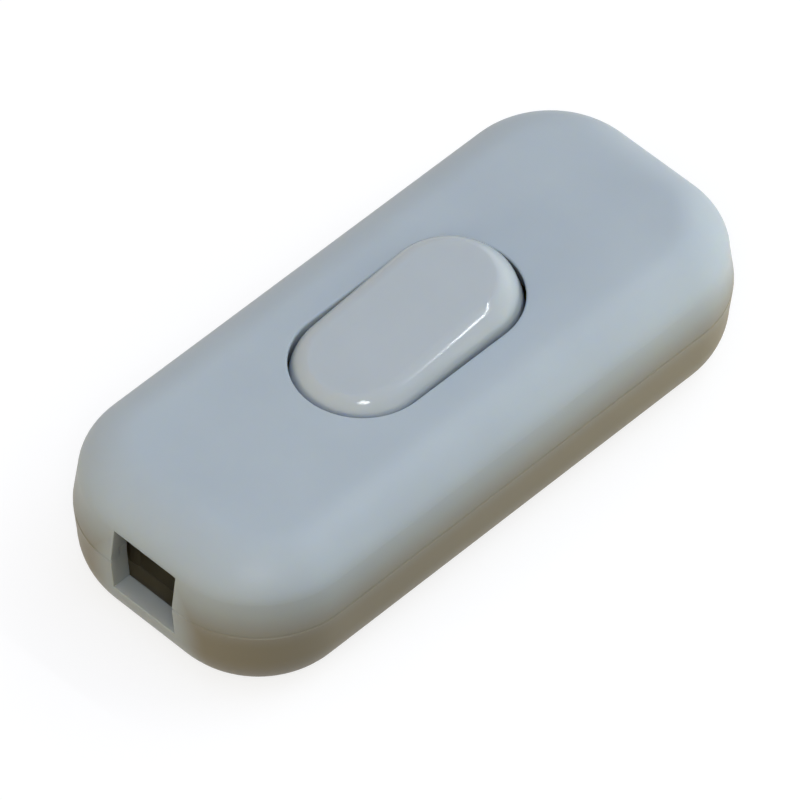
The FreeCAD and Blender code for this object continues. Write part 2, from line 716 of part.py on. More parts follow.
def make_screws():
    pillar_screw = make_screw(
        terminal_screw_radius, pillar_top_z - pillar_wire_z,
        terminal_head_radius, terminal_head_height, 1)
    block_screw = make_screw(
        terminal_screw_radius, through_block_top_z - through_wire_z,
        terminal_head_radius, terminal_head_height, 1)
    clamp_screw = make_screw(
        clamp_screw_radius, clamp_screw_length, clamp_head_radius, clamp_head_height, 1)
    cover_screw = make_screw(
        cover_screw_radius, cover_screw_length, cover_head_radius, cover_head_height, 2)
    cover_screw.rotate(Vector(), x_axis, 180)

    screws = {
        "common_terminal_screw": placed(pillar_screw, -pillar_x, 0, pillar_top_z),
        "fixed_terminal_screw": placed(pillar_screw, pillar_x, 0, pillar_top_z),
    }
    for end, sx in (("left", -1), ("right", 1)):
        for name, sy in (("neutral", 1), ("earth", -1)):
            screws[name + "_screw_" + end] = placed(
                block_screw, sx * through_screw_x, sy * through_block_y, through_block_top_z)
        for edge, sy in (("front", -1), ("back", 1)):
            screws["clamp_screw_" + end + "_" + edge] = placed(
                clamp_screw, sx * clamp_x, sy * clamp_screw_y, clamp_foot_top_z)
    for end, (x, y) in zip(("left", "right"), cover_screw_places()):
        screws["cover_screw_" + end] = placed(cover_screw, x, y, cover_seat_z)
    return screws


def make_all():
    nodes = {
        "upper_shell": make_upper_shell(),
        "lower_shell": make_lower_shell(),
        "rocker_button": make_rocker_button(),
        "switch_carrier": make_switch_carrier(),
        "contact_plunger": make_contact_plunger(),
        "plunger_spring": make_plunger_spring(),
        "contact_lever": make_contact_lever(),
        "moving_contact_tip": make_moving_tip(),
        "fixed_contact_tip": domed_pad(contact_x, moving_tip_height),
        "common_terminal": make_common_terminal(),
        "fixed_terminal": make_fixed_terminal(),
        "neutral_block": make_through_block(1),
        "earth_block": make_through_block(-1),
        "cord_clamp_left": make_cord_clamp(-1),
        "cord_clamp_right": make_cord_clamp(1),
    }
    nodes.update(make_screws())
    return nodes


os.makedirs("parts", exist_ok=True)
for node, shape in make_all().items():
    solid = shape.Solids[0] if len(shape.Solids) == 1 else shape
    print(node, "solids", len(shape.Solids), "valid", shape.isValid(), "volume", round(shape.Volume, 2))
    solid.exportStep("parts/" + node + ".step")
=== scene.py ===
import math

import bmesh
import bpy
from mathutils import Matrix, Vector


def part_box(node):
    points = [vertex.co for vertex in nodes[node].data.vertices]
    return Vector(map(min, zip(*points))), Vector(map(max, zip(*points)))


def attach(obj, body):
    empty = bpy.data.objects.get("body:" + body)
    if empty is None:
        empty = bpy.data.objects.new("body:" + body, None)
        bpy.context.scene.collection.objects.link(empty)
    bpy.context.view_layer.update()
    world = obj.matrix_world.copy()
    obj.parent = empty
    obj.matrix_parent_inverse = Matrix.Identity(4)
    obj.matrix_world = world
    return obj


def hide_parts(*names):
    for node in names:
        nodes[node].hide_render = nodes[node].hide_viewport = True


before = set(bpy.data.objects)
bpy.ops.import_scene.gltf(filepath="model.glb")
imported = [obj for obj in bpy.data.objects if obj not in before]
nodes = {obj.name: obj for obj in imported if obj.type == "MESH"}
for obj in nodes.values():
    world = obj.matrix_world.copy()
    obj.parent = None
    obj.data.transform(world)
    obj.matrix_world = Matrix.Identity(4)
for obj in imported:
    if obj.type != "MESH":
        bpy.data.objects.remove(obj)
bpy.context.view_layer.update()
mm = 0.001
print("frame loaded:", len(nodes), "nodes")


# Small tools

def fromHex(text):
    channels = [int(text[i:i + 2], 16) / 255 for i in (1, 3, 5)]
    linear = [c / 12.92 if c <= 0.04045 else ((c + 0.055) / 1.055) ** 2.4 for c in channels]
    return (*linear, 1.0)


def addNode(tree, kind, inputs=None, **settings):
    # an input is a value, or the output socket or the node that feeds it
    node = tree.nodes.new(kind)
    for name, value in settings.items():
        setattr(node, name, value)
    for socket, given in (inputs or {}).items():
        if isinstance(given, bpy.types.Node):
            given = given.outputs[0]
        if isinstance(given, bpy.types.NodeSocket):
            tree.links.new(given, node.inputs[socket])
        else:
            node.inputs[socket].default_value = given
    return node


def newPiece(name, bm, material, sharp=30):
    mesh = bpy.data.meshes.new(name)
    bmesh.ops.recalc_face_normals(bm, faces=bm.faces)
    bm.to_mesh(mesh)
    bm.free()
    mesh.transform(Matrix.Scale(mm, 4))
    mesh.shade_smooth()
    mesh.set_sharp_from_angle(angle=math.radians(sharp))
    mesh.materials.append(material)
    piece = bpy.data.objects.new(name, mesh)
    bpy.context.scene.collection.objects.link(piece)
    return piece


def bezier(a, b, c, d, t):
    s = 1 - t
    weights = (s ** 3, 3 * s * s * t, 3 * s * t * t, t ** 3)
    return tuple(sum(w * p[i] for w, p in zip(weights, (a, b, c, d))) for i in (0, 1))


# Materials

def newMaterial(name):
    material = bpy.data.materials.new(name)
    material.use_nodes = True
    tree = material.node_tree
    tree.nodes.clear()
    shader = addNode(tree, "ShaderNodeBsdfPrincipled")
    addNode(tree, "ShaderNodeOutputMaterial", {"Surface": shader})
    place = addNode(tree, "ShaderNodeTexCoord").outputs["Object"]
    return material, tree, shader, place


# Both shells: painted shade, darker and warmer towards the foot as ground shade and a warm floor bounce would
# make them, held back about the cord windows at both ends; heights and distances in mm
footShade = {
    "colour": "#7a725b", "fullShadeBelow": 8.0, "unshadedAbove": 17.0,
    "sparedWidth": (4.5, 9.0), "sparedFrom": (34.0, 37.0), "sparedShare": 0.7,
}
# How far light soaks into a milky plastic, for red, green and blue, in mm
soak = {"red": 3.0, "green": 2.1, "blue": 0.9}
# Shares of the noise between which the colour turns, and how far it moves the roughness either way
plasticNoise = {"toneSpan": (0.3, 0.7), "smoother": 0.03, "rougher": 0.03}
metalNoise = {"toneSpan": (0.35, 0.6), "smoother": 0.08, "rougher": 0.1}


def paintedFootShade(tree, place, colour):
    # painted shade: the colour turns darker and warmer towards the foot, less so about the cord windows at
    # both ends
    at = addNode(tree, "ShaderNodeSeparateXYZ", {0: place}).outputs
    unshaded = addNode(tree, "ShaderNodeMapRange", {
        "Value": at["Z"], "From Min": footShade["fullShadeBelow"] * mm, "From Max": footShade["unshadedAbove"] * mm},
        interpolation_type="SMOOTHSTEP")
    near, far = footShade["sparedWidth"]
    aside = addNode(tree, "ShaderNodeMath", {0: at["Y"]}, operation="ABSOLUTE")
    spared = addNode(tree, "ShaderNodeMapRange", {
        "Value": aside, "From Min": near * mm, "From Max": far * mm, "To Min": footShade["sparedShare"],
        "To Max": 0.0}, interpolation_type="SMOOTHSTEP")
    near, far = footShade["sparedFrom"]
    along = addNode(tree, "ShaderNodeMath", {0: at["X"]}, operation="ABSOLUTE")
    atEnd = addNode(tree, "ShaderNodeMapRange", {"Value": along, "From Min": near * mm, "From Max": far * mm},
                    interpolation_type="SMOOTHSTEP")
    spared = addNode(tree, "ShaderNodeMath", {0: spared, 1: atEnd}, operation="MULTIPLY")
    unshaded = addNode(tree, "ShaderNodeMath", {0: unshaded, 1: spared}, operation="MAXIMUM")
    return addNode(tree, "ShaderNodeMix", {0: unshaded, 6: fromHex(footShade["colour"]), 7: colour},
                   data_type="RGBA").outputs[2]


def mouldedPlastic(name, finish):
    material, tree, shader, place = newMaterial(name)
    flow = addNode(tree, "ShaderNodeTexNoise", {
        "Scale": 1 / (finish["flowSize"] * mm), "Detail": 3.0, "Vector": place}).outputs["Fac"]
    tone = addNode(tree, "ShaderNodeValToRGB", {"Fac": flow})
    for stop, position, key in zip(tone.color_ramp.elements, plasticNoise["toneSpan"], ("shade", "colour")):
        stop.position = position
        stop.color = fromHex(finish[key])
    colour = tone.outputs["Color"]
    # the shells get painted shade, darker and warmer towards the foot
    if finish.get("shadedFoot"):
        colour = paintedFootShade(tree, place, colour)
    tree.links.new(colour, shader.inputs["Base Color"])
    rough = addNode(tree, "ShaderNodeMapRange", {
        "Value": flow, "To Min": finish["roughness"] - plasticNoise["smoother"],
        "To Max": finish["roughness"] + plasticNoise["rougher"]})
    tree.links.new(rough.outputs[0], shader.inputs["Roughness"])
    normal = None
    for kind, detail in (("grain", 2.0), ("sink", 1.0)):    # tool grain, then the slow wave of the walls
        noise = addNode(tree, "ShaderNodeTexNoise", {
            "Scale": 1 / (finish[kind + "Size"] * mm), "Detail": detail, "Vector": place})
        normal = addNode(tree, "ShaderNodeBump", {
            "Strength": 1.0, "Distance": finish[kind + "Depth"] * mm, "Height": noise.outputs["Fac"],
            **({"Normal": normal} if normal else {})})
    tree.links.new(normal.outputs[0], shader.inputs["Normal"])
    shader.inputs["IOR"].default_value = finish["ior"]
    shader.inputs["Specular IOR Level"].default_value = finish.get("gloss", 0.5)
    shader.inputs["Subsurface Weight"].default_value = finish.get("milky", 0.0)
    shader.inputs["Subsurface Radius"].default_value = [depth / soak["red"] for depth in soak.values()]
    shader.inputs["Subsurface Scale"].default_value = soak["red"] * mm
    return material


def drawnMetal(name, finish):
    material, tree, shader, place = newMaterial(name)
    lines = addNode(tree, "ShaderNodeMapping", {"Scale": finish["stretch"], "Vector": place})
    streak = addNode(tree, "ShaderNodeTexNoise", {
        "Scale": 1 / (finish["lineSize"] * mm), "Detail": 2.0, "Vector": lines}).outputs["Fac"]
    cloud = addNode(tree, "ShaderNodeTexNoise", {
        "Scale": 1 / (finish["cloudSize"] * mm), "Detail": 3.0, "Vector": place}).outputs["Fac"]
    tone = addNode(tree, "ShaderNodeValToRGB", {"Fac": cloud})
    for stop, position, key in zip(tone.color_ramp.elements, metalNoise["toneSpan"], ("tarnish", "colour")):
        stop.position = position
        stop.color = fromHex(finish[key])
    tree.links.new(tone.outputs["Color"], shader.inputs["Base Color"])
    rough = addNode(tree, "ShaderNodeMapRange", {
        "Value": streak, "To Min": finish["roughness"] - metalNoise["smoother"],
        "To Max": finish["roughness"] + metalNoise["rougher"]})
    tree.links.new(rough.outputs[0], shader.inputs["Roughness"])
    bump = addNode(tree, "ShaderNodeBump", {
        "Strength": 1.0, "Distance": finish["lineDepth"] * mm, "Height": streak})
    tree.links.new(bump.outputs[0], shader.inputs["Normal"])
    shader.inputs["Metallic"].default_value = 1.0
    return material


# ABS from a spark-eroded tool: satin, a soft broad sheen and a barely seen grain
satinCover = mouldedPlastic("satin moulded ABS, cover", {
    "colour": "#abb6bd", "shade": "#a6b1b9", "shadedFoot": True,
    "roughness": 0.42, "ior": 1.53, "gloss": 0.35, "milky": 0.4, "flowSize": 14,
    "grainSize": 0.22, "grainDepth": 0.004, "sinkSize": 9, "sinkDepth": 0.02})
# The same ABS in the base, from a slightly rougher half of the tool
satinBase = mouldedPlastic("satin moulded ABS, base", {
    "colour": "#abb6bd", "shade": "#a6b1b9", "shadedFoot": True,
    "roughness": 0.45, "ior": 1.53, "gloss": 0.35, "milky": 0.4, "flowSize": 12,
    "grainSize": 0.22, "grainDepth": 0.004, "sinkSize": 9, "sinkDepth": 0.02})
# ABS from a polished tool: sharp highlights over a faint moulding ripple
glossyRocker = mouldedPlastic("polished moulded ABS, rocker", {
    "colour": "#acb5bb", "shade": "#a9b2b8",
    "roughness": 0.1, "ior": 1.53, "milky": 0.4, "flowSize": 10,
    "grainSize": 0.5, "grainDepth": 0.0006, "sinkSize": 5, "sinkDepth": 0.008})
# Mineral-filled PBT: dense cream body, matt and slightly mottled
filledCarrier = mouldedPlastic("mineral-filled PBT, carrier", {
    "colour": "#d8d2c0", "shade": "#cbc4af", "roughness": 0.55, "ior": 1.57, "flowSize": 2.5,
    "grainSize": 0.3, "grainDepth": 0.01, "sinkSize": 4, "sinkDepth": 0.02})
# Nylon 66: milky, waxy sheen
nylonClamp = mouldedPlastic("moulded nylon 66, clamps", {
    "colour": "#d5d2c4", "shade": "#c9c5b4", "roughness": 0.4, "ior": 1.53, "flowSize": 3,
    "grainSize": 0.3, "grainDepth": 0.006, "sinkSize": 3, "sinkDepth": 0.02})
# Acetal: smooth, white and slippery
acetalPlunger = mouldedPlastic("moulded acetal, plunger", {
    "colour": "#dedbd0", "shade": "#d6d2c5", "roughness": 0.28, "ior": 1.48, "flowSize": 2,
    "grainSize": 0.3, "grainDepth": 0.001, "sinkSize": 2, "sinkDepth": 0.004})
# Stamped and sawn brass: yellow, drawn lines along the strip, dull patches
stampedBrass = drawnMetal("stamped brass, terminals", {
    "colour": "#d9b86c", "tarnish": "#b8924e", "roughness": 0.3, "stretch": (0.08, 1, 1),
    "lineSize": 0.12, "lineDepth": 0.003, "cloudSize": 2})
# Silver-nickel rivet: white metal, faintly grey where it has arced
silverContact = drawnMetal("coined silver-nickel, contacts", {
    "colour": "#e2e0da", "tarnish": "#a7a49c", "roughness": 0.25, "stretch": (1, 1, 1),
    "lineSize": 0.15, "lineDepth": 0.002, "cloudSize": 0.8})
# Music wire: bright and grey
springWire = drawnMetal("drawn music wire, spring", {
    "colour": "#b4b5b8", "tarnish": "#8f9094", "roughness": 0.28, "stretch": (1, 1, 1),
    "lineSize": 0.1, "lineDepth": 0.001, "cloudSize": 1})
# Zinc-plated steel: cool bright plate with a cloudy bloom
zincScrew = drawnMetal("zinc-plated steel, screws", {
    "colour": "#c3c8ce", "tarnish": "#989da6", "roughness": 0.32, "stretch": (1, 1, 0.2),
    "lineSize": 0.12, "lineDepth": 0.003, "cloudSize": 0.7})
print("materials made")


# Rings: every ring of the housing has one point in each of the same columns, so
# rings at other insets and heights join into quads. A column is a foot and a
# direction, and for the rocker's round-ended opening a share of its straight
# sides and a direction.

housing = {
    "length": 79.9998, "width": 35.0998, "height": 19.8, "planRadius": 12.1,
    "cornerSteps": 22, "sideSteps": 30,
    "parting": 10.4, "seamBevel": 0.18, "wall": 2.4, "roof": 2.0, "floor": 2.0,
    "windowWidth": 9.2, "windowHeight": 8.9, "windowMiddle": 10.5,
    "openingLength": 29.5, "openingWidth": 15.9, "rimRound": 0.3,
    "collarWall": 1.2, "collarBottom": 16.9, "pivotZ": 14.6, "windowEasing": 0.09,
}
footX = housing["length"] / 2 - housing["planRadius"]
footY = housing["width"] / 2 - housing["planRadius"]
openingHalfWidth = housing["openingWidth"] / 2
jamb = housing["windowWidth"] / 2
windowTop = housing["windowMiddle"] + housing["windowHeight"] / 2
windowBottom = housing["windowMiddle"] - housing["windowHeight"] / 2
endYs = [-footY] + [jamb * k / 4 for k in range(-4, 5)] + [footY]
closeEnough = 1e-4                                        # mm


def makeColumns():
    steps = housing["cornerSteps"]
    runs = housing["sideSteps"]
    columns = []
    for turn in (0, 1):                                   # half a turn from the middle of a corner run
        sign = 1 - 2 * turn
        end = []
        for k in range(1, steps):                         # corner before the end
            end.append((Vector((sign * footX, -sign * footY)), 90 * k / steps - 90))
        for y in endYs:
            end.append((Vector((sign * footX, sign * y)), 0))
        for k in range(1, steps):                         # corner after it
            end.append((Vector((sign * footX, sign * footY)), 90 * k / steps))
        for k, (foot, angle) in enumerate(end):
            direction = Matrix.Rotation(math.radians(angle + 180 * turn), 2) @ Vector((1, 0))
            around = math.radians(-90 + 180 * (k + 1) / (len(end) + 1) + 180 * turn)
            stadium = Vector((math.cos(around), math.sin(around)))
            columns.append((foot, direction, sign, stadium))
        for k in range(runs + 1):                         # long side
            share = 1 - 2 * k / runs
            direction = Vector((0, sign))
            columns.append((Vector((sign * share * footX, sign * footY)), direction, sign * share, direction))
    return columns


columns = makeColumns()


def housingRing(inset, z):
    reach = housing["planRadius"] - inset
    return [Vector((*(foot + way * reach), z)) for foot, way, _, _ in columns]


def slotRing(halfLength, halfWidth, z):
    straight = Vector((halfLength - halfWidth, 0))
    return [Vector((*(straight * share + way * halfWidth), z)) for _, _, share, way in columns]


def swingingHalf(rimLength, z):                           # the ends keep their gap as the rocker tilts
    reach = math.hypot(rimLength / 2, housing["height"] - housing["pivotZ"])
    return math.sqrt(reach ** 2 - (z - housing["pivotZ"]) ** 2)


def openingRing(growth, z):
    return slotRing(swingingHalf(housing["openingLength"], z) + growth, openingHalfWidth + growth, z)


def between(ringA, ringB, share):
    return [a.lerp(b, share) for a, b in zip(ringA, ringB)]


def curvedRows(start, startPull, endPull, end, count, extraZ=None):
    # a row at extraZ, found by halving, takes the place of a regular one within a quarter step of it
    shares = [k / count for k in range(count + 1)]
    if extraZ is not None:
        low, high = 0.0, 1.0
        rising = end[1] > start[1]
        for _ in range(40):
            middle = (low + high) / 2
            under = bezier(start, startPull, endPull, end, middle)[1] < extraZ
            low, high = (middle, high) if under == rising else (low, middle)
        shares = sorted(s for s in shares + [low] if s == low or abs(s - low) > 0.25 / count)
    return [bezier(start, startPull, endPull, end, s) for s in shares]


def shoulderRows(inset, zSide, across, zFlat, fullness, extraZ=None, count=16):
    start, end = (inset, zSide), (inset + across, zFlat)
    startPull = (inset, zSide + (zFlat - zSide) * fullness)
    endPull = (inset + across * (1 - fullness), zFlat)
    return curvedRows(start, startPull, endPull, end, count, extraZ)


def joinRings(bm, rings, closed=True, openRows=(), openColumns=()):
    rows = [[bm.verts.new(p) for p in ring] for ring in rings]
    wide = len(rows[0])
    for i in range(len(rows) if closed else len(rows) - 1):
        upper, lower = rows[i], rows[(i + 1) % len(rows)]
        for j in range(wide):
            if i in openRows and j in openColumns:
                continue
            k = (j + 1) % wide
            bm.faces.new((upper[j], upper[k], lower[k], lower[j]))
    return rows


def windowSpans(wide):
    # first and last column of each cord window
    lefts = [turn * wide // 2 + housing["cornerSteps"] for turn in (0, 1)]
    return [(left, left + len(endYs) - 3) for left in lefts]


def cutWindows(bm, rows, first, last, easing):
    # jambs, sill and head of both windows, between two rows, with the outer edges eased
    outline = []
    for left, right in windowSpans(len(rows[0])):
        for j in range(left, right):
            bm.faces.new((rows[first][j], rows[first][j + 1], rows[last][j + 1], rows[last][j]))
        for j in (left, right):
            bm.faces.new([row[j] for row in rows[first:last + 1]])
            outline += [(rows[i][j], rows[i + 1][j]) for i in easing if i + 1 in easing]
        edge = first if first in easing else last
        outline += [(rows[edge][j], rows[edge][j + 1]) for j in range(left, right)]
    bm.edges.ensure_lookup_table()
    edges = [bm.edges.get(pair) for pair in outline]
    bmesh.ops.recalc_face_normals(bm, faces=bm.faces)
    bmesh.ops.bevel(bm, geom=[e for e in edges if e], offset=housing["windowEasing"], segments=2,
                    profile=0.5, affect="EDGES")


def windowFaces(first, last, wide):
    gaps = [j for left, right in windowSpans(wide) for j in range(left, right)]
    return set(range(first, last)), set(gaps)


# Solids that the mouldings grow inside: posts, ribs and bores

def turned(bm, profile, middle, axis="Z", steps=36):
    pose = Matrix.Translation(middle) @ {
        "X": Matrix.Rotation(math.radians(90), 4, "Y"),
        "Y": Matrix.Rotation(math.radians(-90), 4, "X"),
        "Z": Matrix.Identity(4)}[axis]
    around = [2 * math.pi * k / steps for k in range(steps)]
    rows = []
    for radius, z in profile:
        turns = around if radius else [0]
        spots = [Vector((radius * math.cos(t), radius * math.sin(t), z)) for t in turns]
        rows.append([bm.verts.new(pose @ spot) for spot in spots])
    for a, b in zip(rows, rows[1:]):
        for k in range(steps):
            n = (k + 1) % steps
            ring = [a[k % len(a)], a[n % len(a)], b[n % len(b)], b[k % len(b)]]
            bm.faces.new(list(dict.fromkeys(ring)))
    for end in (rows[0], rows[-1]):
        if len(end) > 1:
            bm.faces.new(end)


def prism(bm, outline, start, end, along="X"):
    rows = []
    for at in (start, end):
        places = [(at, side, z) if along == "X" else (side, at, z) for side, z in outline]
        rows.append([bm.verts.new(place) for place in places])
    count = len(outline)
    for k in range(count):
        n = (k + 1) % count
        bm.faces.new((rows[0][k], rows[0][n], rows[1][n], rows[1][k]))
    for row in rows:
        bm.faces.new(row)


def block(bm, x0, x1, y0, y1, z0, z1):
    prism(bm, [(y0, z0), (y1, z0), (y1, z1), (y0, z1)], x0, x1)


def moulded(piece, grown, holes, sharp=30):
    for kind, bm in (("UNION", grown), ("DIFFERENCE", holes)):
        if not bm.verts:
            continue
        tool = newPiece("tool", bm, piece.data.materials[0])
        step = piece.modifiers.new(kind, "BOOLEAN")
        step.operation = kind
        step.solver = "EXACT"
        step.use_self = True
        step.object = tool
        result = bpy.data.meshes.new_from_object(piece.evaluated_get(bpy.context.evaluated_depsgraph_get()))
        piece.modifiers.clear()
        bpy.data.objects.remove(tool)
        piece.data = result
    piece.data.shade_smooth()
    piece.data.set_sharp_from_angle(angle=math.radians(sharp))
    piece.data.materials.clear()
    return piece


# Upper shell

cover = {
    "sideTop": 14.65, "draft": 0.54, "shoulderAcross": 6.3, "shoulderFullness": 0.46,
    "sideRows": ((0.17, 11.9), (0.35, 13.3)),             # inset and height of the drafted side
    "lipInset": 1.3, "lipTop": 11.7, "lipDraft": 0.165,
    "rimSteps": 5, "rimEdge": 0.12, "landEdge": 0.3, "landShares": (0, 0.3, 0.65, 1),
    "collarRows": (18.8, 18.1, 17.4),
    "bossRadius": 2.9, "pilotRadius": 1.4, "pilotTop": 15.7, "drillPoint": 0.5, "rootInRoof": 0.6,
    "holdDownRadius": 1.4, "holdDownBottom": 4.1,
}
coverScrews = [(-24.0, 8.2), (24.0, -8.2)]
holdDowns = [(15.8, 7.0), (-15.8, -7.0)]


def makeUpperShell():
    parting, top = housing["parting"], housing["height"]
    wall, roof = housing["wall"], top - housing["roof"]
    bevel, rim = housing["seamBevel"], housing["rimRound"]
    flat = cover["draft"] + cover["shoulderAcross"]
    rings = []
    for k in range(cover["rimSteps"] + 1):                # rounded rim of the opening, from the land down
        turn = math.radians(90 * k / cover["rimSteps"])
        rings.append(openingRing(rim * (1 - math.sin(turn)), top - rim * (1 - math.cos(turn))))
    bottom = housing["collarBottom"]
    rings += [openingRing(0, z) for z in (*cover["collarRows"], bottom)]
    collar = swingingHalf(housing["openingLength"], bottom) + housing["collarWall"]
    rings += [slotRing(collar, openingHalfWidth + housing["collarWall"], z) for z in (bottom, roof)]
    outerRoof = housingRing(flat, roof)
    rings.append(between(rings[-1], outerRoof, 0.5))
    inner = shoulderRows(wall + cover["draft"], cover["sideTop"], cover["shoulderAcross"] - wall, roof,
                         cover["shoulderFullness"], windowTop, count=10)[::-1]
    inner += [(wall + cover["lipDraft"], cover["lipTop"]), (cover["lipInset"], cover["lipTop"]),
              (cover["lipInset"], parting)]
    rings += [housingRing(*row) for row in inner]
    seam = len(rings)
    outer = [(bevel, parting), (0, parting + bevel), *cover["sideRows"]]
    outer += shoulderRows(cover["draft"], cover["sideTop"], cover["shoulderAcross"], top,
                          cover["shoulderFullness"], windowTop)
    rings += [housingRing(*row) for row in outer]
    first, last = (i for i, ring in enumerate(rings) if abs(ring[0].z - windowTop) < closeEnough)
    land = housingRing(flat + cover["landEdge"], top)
    rimEdge = openingRing(rim + cover["rimEdge"], top)
    rings += [between(land, rimEdge, share) for share in cover["landShares"]]

    bm = bmesh.new()
    openRows, openColumns = windowFaces(first, last, len(columns))
    rows = joinRings(bm, rings, True, openRows, openColumns)
    cutWindows(bm, rows, first, last, range(seam, last + 1))
    shell = newPiece("housingCover", bm, satinCover)

    grown, holes = bmesh.new(), bmesh.new()
    for x, y in coverScrews:
        turned(grown, [(cover["bossRadius"], parting), (cover["bossRadius"], roof + cover["rootInRoof"])],
               (x, y, 0))
        turned(holes, [(cover["pilotRadius"], parting - 1),
                       (cover["pilotRadius"], cover["pilotTop"] - cover["drillPoint"]),
                       (0, cover["pilotTop"])], (x, y, 0), steps=24)
    for x, y in holdDowns:
        turned(grown, [(cover["holdDownRadius"], cover["holdDownBottom"]),
                       (cover["holdDownRadius"], roof + cover["rootInRoof"])], (x, y, 0), steps=24)
    return moulded(shell, grown, holes)


# Lower shell

base = {
    "draft": 0.33, "sideBottom": 6.6, "roundAcross": 4.9, "roundFullness": 0.52,
    "lipInset": 1.4, "lipTop": 11.6, "footEdge": 0.3, "sideRow": (0.15, 8.5), "rootInFloor": 0.5,
    "postRadius": 3.75, "counterbore": 2.75, "counterboreTop": 3.7, "screwHole": 1.55,
    "clampX": 31.0, "clampWidth": 6.0, "cordRadius": 3.6, "troughWall": 1.4, "footZ": 9.2,
    "clampPostY": 8.2, "clampPostRadius": 2.5, "clampPilot": 1.15, "clampPilotBottom": 2.7,
    "ribSpread": 3.2, "ribThickness": 1.3, "ribUnderPost": 0.001,
    "pegs": (10.5, 7.0), "pegRadius": 1.0, "pegTop": 4.4, "pegChamfer": 0.15,
    # ribs that hold the through terminals: place along X and top, then the side outline they share
    "seatRibs": ((6.15, 8.2), (3.5, 4.6)), "seatRibThickness": 1.2,
    "seatSide": 9.7, "seatOutline": ((9.7, 1.4), (13.2, 1.4), (15.3, 4.2)), "seatWall": (16.2, 6.6),
}


def makeLowerShell():
    parting, floor, wall, bevel = (housing[key] for key in ("parting", "floor", "wall", "seamBevel"))
    flat = base["draft"] + base["roundAcross"]
    outer = shoulderRows(base["draft"], base["sideBottom"], base["roundAcross"], 0, base["roundFullness"],
                         windowBottom)[::-1]
    rows = [(flat + base["footEdge"], 0), *outer, base["sideRow"], (0, parting - bevel), (bevel, parting)]
    seam = len(rows) - 1
    rows += [(base["lipInset"], parting), (base["lipInset"], base["lipTop"])]
    rows += [(wall, base["lipTop"]), (wall, parting)]
    rows += shoulderRows(wall + base["draft"], base["sideBottom"], base["roundAcross"] - wall, floor,
                         base["roundFullness"], windowBottom, count=10)
    rings = [housingRing(*row) for row in rows]
    first, last = (i for i, row in enumerate(rows) if abs(row[1] - windowBottom) < closeEnough)

    bm = bmesh.new()
    openRows, openColumns = windowFaces(first, last, len(columns))
    made = joinRings(bm, rings, False, openRows, openColumns)
    bm.faces.new(made[0])
    bm.faces.new(made[-1])
    cutWindows(bm, made, first, last, range(first, seam + 1))
    shell = newPiece("housingBase", bm, satinBase)

    grown, holes = bmesh.new(), bmesh.new()
    under = floor - base["rootInFloor"]
    for x, y in coverScrews:
        turned(grown, [(base["postRadius"], under), (base["postRadius"], parting)], (x, y, 0))
        turned(holes, [(base["counterbore"], -1), (base["counterbore"], base["counterboreTop"]),
                       (base["screwHole"], base["counterboreTop"]), (base["screwHole"], parting + 1)],
               (x, y, 0))
    for sign in (-1, 1):
        cordCradle(grown, holes, sign * base["clampX"], under)
        for side in (-1, 1):
            radius, top, chamfer = base["pegRadius"], base["pegTop"], base["pegChamfer"]
            turned(grown, [(radius, under), (radius, top - chamfer), (radius - chamfer, top)],
                   (sign * base["pegs"][0], side * base["pegs"][1], 0), steps=20)
            for start, ribTop in base["seatRibs"]:
                seatRib(grown, side, sign * start, sign * (start + base["seatRibThickness"]), ribTop)
    return moulded(shell, grown, holes)


def cordCradle(grown, holes, x, under):
    # trough for the cord on two cross ribs, with a screw post each side
    half, middle = base["clampWidth"] / 2, (x, 0, housing["windowMiddle"])
    postY, top = base["clampPostY"], base["footZ"]
    outer = base["cordRadius"] + base["troughWall"]
    span = math.acos((middle[2] - top) / outer)
    turns = [-span + 2 * span * k / 24 for k in range(25)]
    prism(grown, [(outer * math.sin(t), middle[2] - outer * math.cos(t)) for t in turns], x - half, x + half)
    turned(holes, [(base["cordRadius"], -2 * half), (base["cordRadius"], 2 * half)], middle, "X", 48)
    for step in (-0.5, 0.5):
        at, thick = x + step * base["ribSpread"], base["ribThickness"] / 2
        block(grown, at - thick, at + thick, -postY, postY, under, top - base["ribUnderPost"])
    for y in (-postY, postY):
        turned(grown, [(base["clampPostRadius"], under), (base["clampPostRadius"], top)], (x, y, 0), steps=28)
        turned(holes, [(base["clampPilot"], base["clampPilotBottom"]), (base["clampPilot"], top + 1)],
               (x, y, 0), steps=20)


def seatRib(bm, side, x0, x1, top):
    y, bend = base["seatWall"]
    outline = [*base["seatOutline"]]
    outline += [(y, bend), (y, top)] if top > bend else [(outline[-1][0], top)]
    outline.append((base["seatSide"], top))
    prism(bm, [(side * y, z) for y, z in outline], *sorted((x0, x1)))


# Rocker

rocker = {
    "length": 28.7, "width": 15.1, "top": 22.099,
    "endRoll": 1.2, "sideRoll": 2.6, "rollDepth": 2.7, "rollFullness": 0.5,
    "topInsets": (3.8, 2.6, 1.5, 0.6), "sideRows": (17.6, 15.8, 14.2), "edge": 0.15, "rootInRoof": 0.5,
    "skirt": 1.3, "skirtBottom": 13.0, "roof": 2.0, "tilt": -5.75,
    "trunnion": 1.25, "trunnionEnd": 9.2, "trunnionChamfer": 0.2, "postRadius": 2.6, "postBottom": 7.4,
    "bore": 1.45, "boreTop": 18.4, "rib": 1.0, "ribBottom": 17.8, "ribClear": 0.2, "sharp": 24,
}
pivotZ = housing["pivotZ"]
rockerTilt = (Matrix.Translation((0, 0, pivotZ * mm)) @ Matrix.Rotation(math.radians(rocker["tilt"]), 4, "Y")
              @ Matrix.Translation((0, 0, -pivotZ * mm)))


